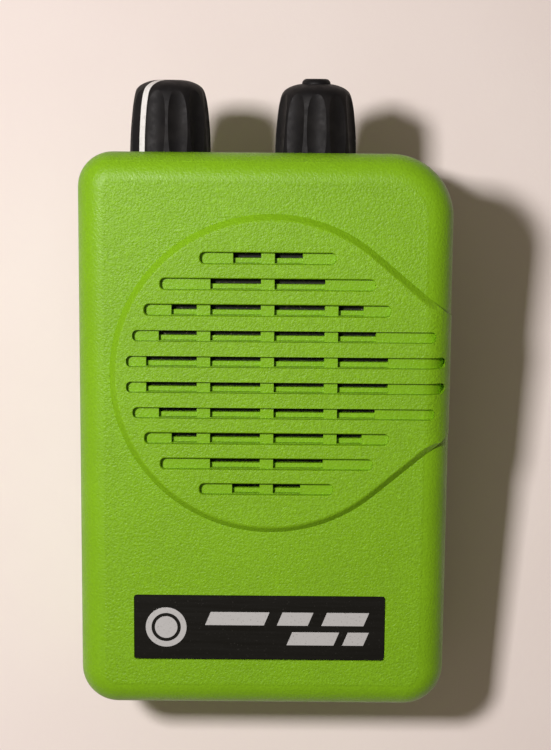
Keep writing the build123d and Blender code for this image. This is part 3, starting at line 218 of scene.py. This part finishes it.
def knob_plastic():
    """Matte black moulding, with skin oil and light rubbing on the ridges."""
    black = (0.007, 0.0065, 0.007)
    s = Shader("knob_plastic", black, 0.5, specular=0.16)
    worn = s.spread(s.noise(2.5 * MM, 4.0), 0.45, 0.75)
    s.paint(s.mix(worn, black, (0.013, 0.012, 0.012)))
    s.vary_roughness(1.2 * MM, 0.5, 0.66)
    s.bump(s.noise(0.16 * MM, 2.0), 0.02 * MM)
    return s.material


def moulded_black(name, colour, grain=0.3 * MM, depth=0.03 * MM, rough=0.48):
    """Grained black moulding for the clip, its bracket and the parts inside."""
    s = Shader(name, colour, rough)
    pebbles = s.cells(grain)
    s.bump(s.maths("ADD", pebbles, s.noise(grain * 0.5, 2.0)), depth)
    s.paint(s.mix(s.spread(s.noise(6 * MM, 4.0), 0.35, 0.75), colour, shade(colour, 1.5)))
    s.vary_roughness(2 * MM, rough - 0.06, rough + 0.08, 4.0)
    return s.material


def plate_finish():
    """Smooth satin black plate with fine hairlines and dust."""
    black = (0.006, 0.006, 0.005)
    s = Shader("plate_finish", black, 0.34, specular=0.3)
    dust = s.spread(s.noise(0.25 * MM, 5.0), 0.66, 0.74)
    s.paint(s.mix(s.maths("MULTIPLY", dust, 0.12), black, (0.25, 0.24, 0.22)))
    hair = s.noise(0.5 * MM, 3.0, (0.05, 1.0, 1.0))
    s.roughen(s.spread(hair, NOISE_LOW, NOISE_HIGH, 0.27, 0.4))
    s.bump(hair, 0.004 * MM)
    return s.material


def ink():
    """Pale grey screen print with pinholes and soft edges."""
    pale = (0.45, 0.455, 0.45)
    s = Shader("ink", pale, 0.5)
    holes = s.spread(s.noise(0.3 * MM, 4.0), 0.3, 0.4)
    s.paint(s.mix(holes, (0.28, 0.28, 0.27), pale))
    s.vary_roughness(0.8 * MM, 0.42, 0.58)
    s.bump(s.noise(0.2 * MM, 3.0), 0.006 * MM)
    return s.material


def pointer_paint():
    """White inlay, rubbed a little grey where fingers pass."""
    white = (0.72, 0.72, 0.7)
    s = Shader("pointer_paint", white, 0.42)
    grime = s.spread(s.noise(1.1 * MM, 4.0), 0.55, 0.8)
    s.paint(s.mix(grime, white, (0.55, 0.54, 0.52)))
    s.vary_roughness(0.7 * MM, 0.36, 0.5)
    s.bump(s.noise(0.2 * MM, 2.0), 0.008 * MM)
    return s.material


def metal(name, colour, rough=0.3, stretch=(1.0, 0.04, 1.0)):
    """Metal with a brushed or drawn grain and slight tarnish."""
    s = Shader(name, colour, rough, 1.0)
    brush = s.noise(0.12 * MM, 3.0, stretch)
    tarnish = s.spread(s.noise(3 * MM, 4.0), 0.4, 0.75)
    s.paint(s.mix(tarnish, colour, shade(colour, 0.72)))
    grained = s.spread(brush, NOISE_LOW, NOISE_HIGH, rough - 0.08, rough + 0.1)
    s.roughen(s.maths("ADD", grained, s.maths("MULTIPLY", tarnish, 0.1)))
    s.bump(brush, 0.004 * MM)
    return s.material


def rubber(name, colour):
    """Matte rubber with mould bloom."""
    s = Shader(name, colour, 0.78)
    s.paint(s.mix(s.spread(s.noise(2.2 * MM, 4.0), 0.45, 0.75), colour, shade(colour, 2.0)))
    s.vary_roughness(0.8 * MM, 0.7, 0.88)
    s.bump(s.noise(0.25 * MM, 3.0), 0.02 * MM)
    return s.material


def woven_black():
    """Near-black acoustic cloth with pale and brown lint caught in the threads."""
    black = (0.012, 0.012, 0.009)
    s = Shader("woven_black", black, 0.9)
    lint = s.spread(s.noise(0.45 * MM, 4.0), 0.66, 0.72)
    brown = s.spread(s.noise(0.9 * MM, 3.0), 0.62, 0.7)
    dusty = s.mix(lint, s.mix(brown, black, (0.06, 0.045, 0.02)), (0.22, 0.2, 0.15))
    s.paint(dusty)
    s.roughen(s.spread(lint, 0.0, 1.0, 0.85, 1.0))
    s.bump(s.noise(0.1 * MM, 2.0, (1.0, 1.0, 0.3)), 0.02 * MM)
    return s.material


def circuit_board():
    """Green solder mask over branching copper tracks and plated pads."""
    mask = (0.012, 0.085, 0.035)
    s = Shader("circuit_board", mask, 0.32)
    brick = {"Vector": s.place(), "Scale": 1 / (6 * MM), "Mortar Size": 0.05}
    tracks = s.add("ShaderNodeTexBrick", brick)
    line = s.spread(s.noise(1.1 * MM, 0.0, (1.0, 1.0, 0.15)), 0.5, 0.53)
    pads = s.spread(s.cells(2.3 * MM, "F1"), 0.2, 0.16)
    tracked = s.mix(line, mask, (0.03, 0.16, 0.06))
    s.paint(s.mix(s.maths("MULTIPLY", pads, 0.9), tracked, (0.6, 0.52, 0.35)))
    s.vary_roughness(1.5 * MM, 0.25, 0.4)
    s.bump(s.maths("ADD", line, tracks.outputs["Fac"]), 0.02 * MM)
    return s.material


def lamp_lens():
    """Clear red light pipe."""
    red = (0.16, 0.012, 0.010)
    s = Shader("lamp_lens", red, 0.14)
    s.surface.inputs["Transmission Weight"].default_value = 0.2
    s.paint(s.mix(s.spread(s.noise(1 * MM), NOISE_LOW, NOISE_HIGH), red, shade(red, 0.75)))
    s.vary_roughness(0.6 * MM, 0.1, 0.2)
    s.bump(s.noise(0.5 * MM), 0.006 * MM)
    return s.material


def film(name, colour, rough, crease=0.9 * MM):
    """Shrink film or a label film, with creases and scuffs."""
    s = Shader(name, colour, rough)
    scuff = s.spread(s.noise(1.4 * MM, 5.0), 0.55, 0.75)
    s.paint(s.mix(s.maths("MULTIPLY", scuff, 0.4), colour, shade(colour, 0.6)))
    s.vary_roughness(0.9 * MM, rough - 0.06, rough + 0.12, 4.0)
    s.bump(s.noise(crease, 3.0), 0.03 * MM)
    return s.material


def dress(material, *names):
    """Gives CAD nodes one material."""
    for name in names:
        slots = NODES[name].material_slots
        for material_slot in slots:
            material_slot.material = material
        if not slots:
            NODES[name].data.materials.append(material)


def new_mesh(name, mesh, material, body, slot, *replaced):
    """Makes a bmesh into a smooth piece that rides on a body."""
    data = bpy.data.meshes.new(name)
    bmesh.ops.recalc_face_normals(mesh, faces=mesh.faces)
    mesh.to_mesh(data)
    mesh.free()
    piece = bpy.data.objects.new(name, data)
    bpy.context.scene.collection.objects.link(piece)
    data.materials.append(material)
    for polygon in data.polygons:
        polygon.use_smooth = True
    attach(piece, body)
    if replaced:
        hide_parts(*replaced)
    return piece


def grille_weave(material):
    """The speaker cloth as a closed disc whose front is raised in a plain weave."""
    low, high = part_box("grille_cloth")
    centre = (low + high) / 2
    radius = (high.x - low.x) / 2
    step = WEAVE_PITCH / WEAVE_STEPS
    count = int(radius / step)
    mesh = bmesh.new()
    front, back = {}, {}
    for i in range(-count, count + 1):
        for j in range(-count, count + 1):
            x, z = i * step, j * step
            if math.hypot(x, z) > radius:
                continue
            wave = math.sin(2 * math.pi * x / WEAVE_PITCH) * math.sin(2 * math.pi * z / WEAVE_PITCH)
            rise = WEAVE_RISE * (1 + wave) / 2
            front[i, j] = mesh.verts.new((centre.x + x, low.y + WEAVE_SET - rise, centre.z + z))
            back[i, j] = mesh.verts.new((centre.x + x, high.y, centre.z + z))
    edges = {}
    for i, j in front:
        ring = [(i, j), (i + 1, j), (i + 1, j + 1), (i, j + 1)]
        if all(corner in front for corner in ring):
            mesh.faces.new([front[corner] for corner in ring])
            mesh.faces.new([back[corner] for corner in reversed(ring)])
            for a, b in zip(ring, ring[1:] + ring[:1]):
                edges[a, b] = edges.get((a, b), 0) + 1
    for a, b in edges:
        if (b, a) not in edges:
            mesh.faces.new([front[b], front[a], back[a], back[b]])
    loose = [v for v in mesh.verts if not v.link_faces]
    bmesh.ops.delete(mesh, geom=loose, context="VERTS")
    return new_mesh("grille_weave", mesh, material, "case", "cloth_black", "grille_cloth")


def lathe(name, outline, centre, material, body, slot, replaced):
    """Turns a closed outline of (radius, depth) points about a front-to-back axis."""
    mesh = bmesh.new()
    rings = []
    for turn in range(LATHE_STEPS):
        angle = 2 * math.pi * turn / LATHE_STEPS
        cos, sin = math.cos(angle), math.sin(angle)
        rings.append([mesh.verts.new((centre.x + r * cos, y, centre.z + r * sin))
                      for r, y in outline])
    for here, there in zip(rings, rings[1:] + rings[:1]):
        for k in range(len(outline)):
            m = (k + 1) % len(outline)
            mesh.faces.new([here[k], here[m], there[m], there[k]])
    return new_mesh(name, mesh, material, body, slot, *replaced)


def rolled_surround(material):
    """The cone's edge as a half-round roll, clear of the cone and of the frame."""
    low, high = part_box("speaker_surround")
    centre = (low + high) / 2
    outer = (high.x - low.x) / 2
    inner = outer - ROLL_W
    middle, half = (outer + inner) / 2, (outer - inner) / 2
    arch = [math.pi * k / ROLL_STEPS for k in range(ROLL_STEPS + 1)]
    top = [(middle + half * math.cos(a), high.y - ROLL_BACK - ROLL_H * math.sin(a)) for a in arch]
    under = [(middle - half * math.cos(a), high.y - ROLL_HOLLOW * math.sin(a)) for a in arch]
    lathe("rolled_surround", top + under, centre, material, "case", "seal_black", ["speaker_surround"])


def cell_wrap(material):
    """Shrink film round the three cells: pulled in between them, with creases along its edges."""
    low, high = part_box("battery_sleeve")
    centre = (low + high) / 2
    half_x, half_y = (high.x - low.x) / 2, (high.y - low.y) / 2
    cell_low, cell_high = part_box("battery_cells")
    pitch = (cell_high.x - cell_low.x - 2 * half_y + WRAP_SLACK) / 2
    rows, columns = WRAP_ROWS, WRAP_COLUMNS
    straight, bend = 2 * (half_x - half_y), math.pi * half_y
    whole = 2 * straight + 2 * bend

    def dip(x):
        return WRAP_DIP * (1 - math.cos(2 * math.pi * x / pitch)) / 2

    def outline(s, inset):
        """The point at distance s along the film, from the front left round to the right and back."""
        r = half_y - inset
        s = s % whole
        if s < straight:
            x = -straight / 2 + s
            return x, -(r - dip(x))
        s -= straight
        if s < bend:
            a = -math.pi / 2 + s / half_y
            return straight / 2 + r * math.cos(a), r * math.sin(a)
        s -= bend
        if s < straight:
            x = straight / 2 - s
            return x, r - dip(x)
        s -= straight
        a = math.pi / 2 + s / half_y
        return -straight / 2 + r * math.cos(a), r * math.sin(a)

    mesh = bmesh.new()
    grid = []
    for layer in (0.0, WRAP_T):
        shell = []
        for row in range(rows + 1):
            t = row / rows
            z = low.z + (high.z - low.z) * t
            edge = max(0.0, 1 - min(t, 1 - t) * 8)
            ring = []
            for column in range(columns):
                s = whole * column / columns
                ripple = math.sin(s / CREASE_LONG) * math.sin(s / CREASE_SHORT + CREASE_SHIFT)
                x, y = outline(s, layer + CREASE_H * edge * (1 + ripple))
                ring.append(mesh.verts.new((centre.x + x, centre.y + y, z)))
            shell.append(ring)
        grid.append(shell)
    for column in range(columns):
        following = (column + 1) % columns
        for row in range(rows):
            for shell, order in ((grid[0], 1), (grid[1], -1)):
                near, far = shell[row], shell[row + 1]
                mesh.faces.new([near[column], near[following], far[following], far[column]][::order])
        for row in (0, rows):
            outer, inner = grid[0][row], grid[1][row]
            mesh.faces.new([outer[column], inner[column], inner[following], outer[following]])
    return new_mesh("cell_wrap", mesh, material, "case", "sleeve_blue", "battery_sleeve")


dress(shell_plastic(), "front_housing", "rear_housing", "battery_door")
dress(knob_plastic(), "selector_knob", "volume_knob", "monitor_button")
dress(pointer_paint(), "selector_pointer", "indicator_lamp")
dress(plate_finish(), "name_plate")
dress(ink(), "plate_print")
dress(moulded_black("clip_plastic", (0.012, 0.012, 0.013)), "belt_clip", "clip_bracket")
dress(moulded_black("part_plastic", (0.05, 0.052, 0.055), 0.2 * MM, 0.015 * MM),
      "selector_switch", "volume_control", "control_covers", "antenna_saddles")
dress(moulded_black("chip_epoxy", (0.014, 0.014, 0.016), 0.12 * MM, 0.008 * MM, 0.55),
      "main_board_chips", "receiver_chips", "board_connectors", "earphone_jack")
dress(metal("brushed_steel", (0.56, 0.56, 0.57)),
      "case_screws", "clip_screws", "clip_pin", "speaker_clamp", "speaker_frame", "speaker_yoke",
      "speaker_screws", "board_screws", "selector_shaft", "volume_shaft", "control_nuts",
      "monitor_switch")
dress(metal("tinned_steel", (0.66, 0.66, 0.64), 0.26, (0.05, 1.0, 1.0)),
      "receiver_shields", "vibrator_motor", "battery_cells", "clip_spring")
dress(metal("plated_brass", (0.78, 0.58, 0.28), 0.24),
      "battery_plates", "battery_springs", "charging_studs")
dress(metal("tungsten", (0.32, 0.31, 0.3), 0.42), "vibrator_weight", "speaker_magnet")
dress(metal("enamelled_copper", (0.62, 0.27, 0.12), 0.3, (0.05, 1.0, 1.0)),
      "antenna_winding", "voice_coil", "speaker_leads")
dress(rubber("seal_rubber", (0.012, 0.012, 0.012)), "case_seal", "speaker_gasket", "control_gaskets",
      "vibrator_cradle")
dress(rubber("pressed_cone", (0.02, 0.02, 0.021)), "speaker_cone")
dress(rubber("ferrite", (0.035, 0.035, 0.04)), "antenna_core")
dress(circuit_board(), "main_board", "receiver_board")
dress(lamp_lens(), "indicator_lens")
dress(film("label_film", (0.55, 0.55, 0.53), 0.4), "rear_label")
grille_weave(woven_black())
rolled_surround(rubber("surround_rubber", (0.015, 0.015, 0.015)))
cell_wrap(film("shrink_film", (0.02, 0.045, 0.19), 0.3))


def backdrop():
    """The pale floor that the pager lies on; a camera beside or behind it sees through it."""
    slope = (CLIP_BACK_Y - REAR_HIGH.y) / CLIP_TOUCH_Z
    data = bpy.data.meshes.new("floor")
    ring = ((-1, -1), (1, -1), (1, 1), (-1, 1))
    corners = [(x * FLOOR_HALF, REAR_HIGH.y + FLOOR_GAP + slope * (z * FLOOR_HALF), z * FLOOR_HALF)
               for x, z in ring]
    data.from_pydata(corners, [], [(0, 1, 2, 3)])
    floor = bpy.data.objects.new("floor", data)
    bpy.context.scene.collection.objects.link(floor)
    s = Shader("pale_floor", (0.84, 0.765, 0.73), 0.9, specular=0.1)
    patches = s.spread(s.noise(30 * MM, 4.0), NOISE_LOW, NOISE_HIGH)
    s.paint(s.mix(patches, (0.85, 0.775, 0.74), (0.83, 0.75, 0.715)))
    s.bump(s.noise(1.2 * MM, 3.0), 0.03 * MM)
    eye = s.add("ShaderNodeVectorTransform", {0: (0.0, 0.0, 0.0)}, vector_type="POINT",
                convert_from="CAMERA", convert_to="WORLD").outputs[0]
    place = s.add("ShaderNodeSeparateXYZ", {0: eye})
    plane_y = s.maths("MULTIPLY_ADD", place.outputs[2], slope, REAR_HIGH.y - SIDE_REACH)
    behind = s.maths("GREATER_THAN", place.outputs[1], plane_y)
    clear = s.add("ShaderNodeBsdfTransparent", {})
    blend = s.add("ShaderNodeMixShader", {0: behind, 1: s.surface.outputs[0], 2: clear.outputs[0]})
    s.tree.links.new(blend.outputs[0], s.tree.nodes["Material Output"].inputs["Surface"])
    data.materials.append(s.material)


def area_light(name, towards, distance, size, power, colour):
    """A soft square light on the given side of the case, aimed at its middle."""
    data = bpy.data.lights.new(name, "AREA")
    data.size = size
    data.energy = power
    data.color = colour
    light = bpy.data.objects.new(name, data)
    light.location = AIM + Vector(towards).normalized() * distance
    light.rotation_euler = (AIM - light.location).to_track_quat("-Z", "Y").to_euler()
    bpy.context.scene.collection.objects.link(light)


def lighting():
    """A small near lamp on the left, a weak fill, three lamps behind, and a dim warm room."""
    warm = (1.0, 0.965, 0.93)
    lamps = (  # name, side it stands on, distance and width in metres, watts, colour
        ("key", (-0.35, -0.86, 0.31), 0.32, 0.036, 1.06, (1.0, 0.95, 0.945)),
        ("front_fill", (-0.1, -0.95, 0.2), 1.4, 1.0, 0.4, warm),
        ("rear_key", (0.22, 0.93, 0.28), 1.2, 0.5, 13.0, warm),
        ("rear_left", (-0.8, 0.6, 0.25), 1.3, 0.7, 9.0, warm),
        ("rear_right", (0.8, 0.55, 0.3), 1.3, 0.7, 11.0, warm),
    )
    for lamp in lamps:
        area_light(*lamp)
    world = bpy.data.worlds.new("studio")
    world.use_nodes = True
    tree = world.node_tree
    room = tree.nodes["Background"]
    room.inputs["Color"].default_value = ROOM_LIGHT
    room.inputs["Strength"].default_value = ROOM_STRENGTH
    seen = tree.nodes.new("ShaderNodeBackground")
    seen.inputs["Color"].default_value = ROOM_SEEN
    path = tree.nodes.new("ShaderNodeLightPath")
    blend = tree.nodes.new("ShaderNodeMixShader")
    tree.links.new(path.outputs["Is Camera Ray"], blend.inputs[0])
    tree.links.new(room.outputs[0], blend.inputs[1])
    tree.links.new(seen.outputs[0], blend.inputs[2])
    tree.links.new(blend.outputs[0], tree.nodes["World Output"].inputs["Surface"])
    bpy.context.scene.world = world


def camera():
    """Above the pager's top edge, looking a little down its front."""
    data = bpy.data.cameras.new("camera")
    data.sensor_fit = "VERTICAL"
    data.sensor_height = SENSOR_H
    data.lens = LENS
    data.clip_start = 0.01
    eye = bpy.data.objects.new("camera", data)
    eye.location = (EYE_X, FIELD_Y - EYE_BACK, EYE_Z)
    eye.rotation_mode = "XYZ"
    eye.rotation_euler = (math.radians(90 - TILT_DEG), math.radians(ROLL_DEG), 0.0)
    bpy.context.scene.collection.objects.link(eye)
    bpy.context.scene.camera = eye


backdrop()
lighting()
camera()
bpy.context.scene.view_settings.view_transform = "Standard"
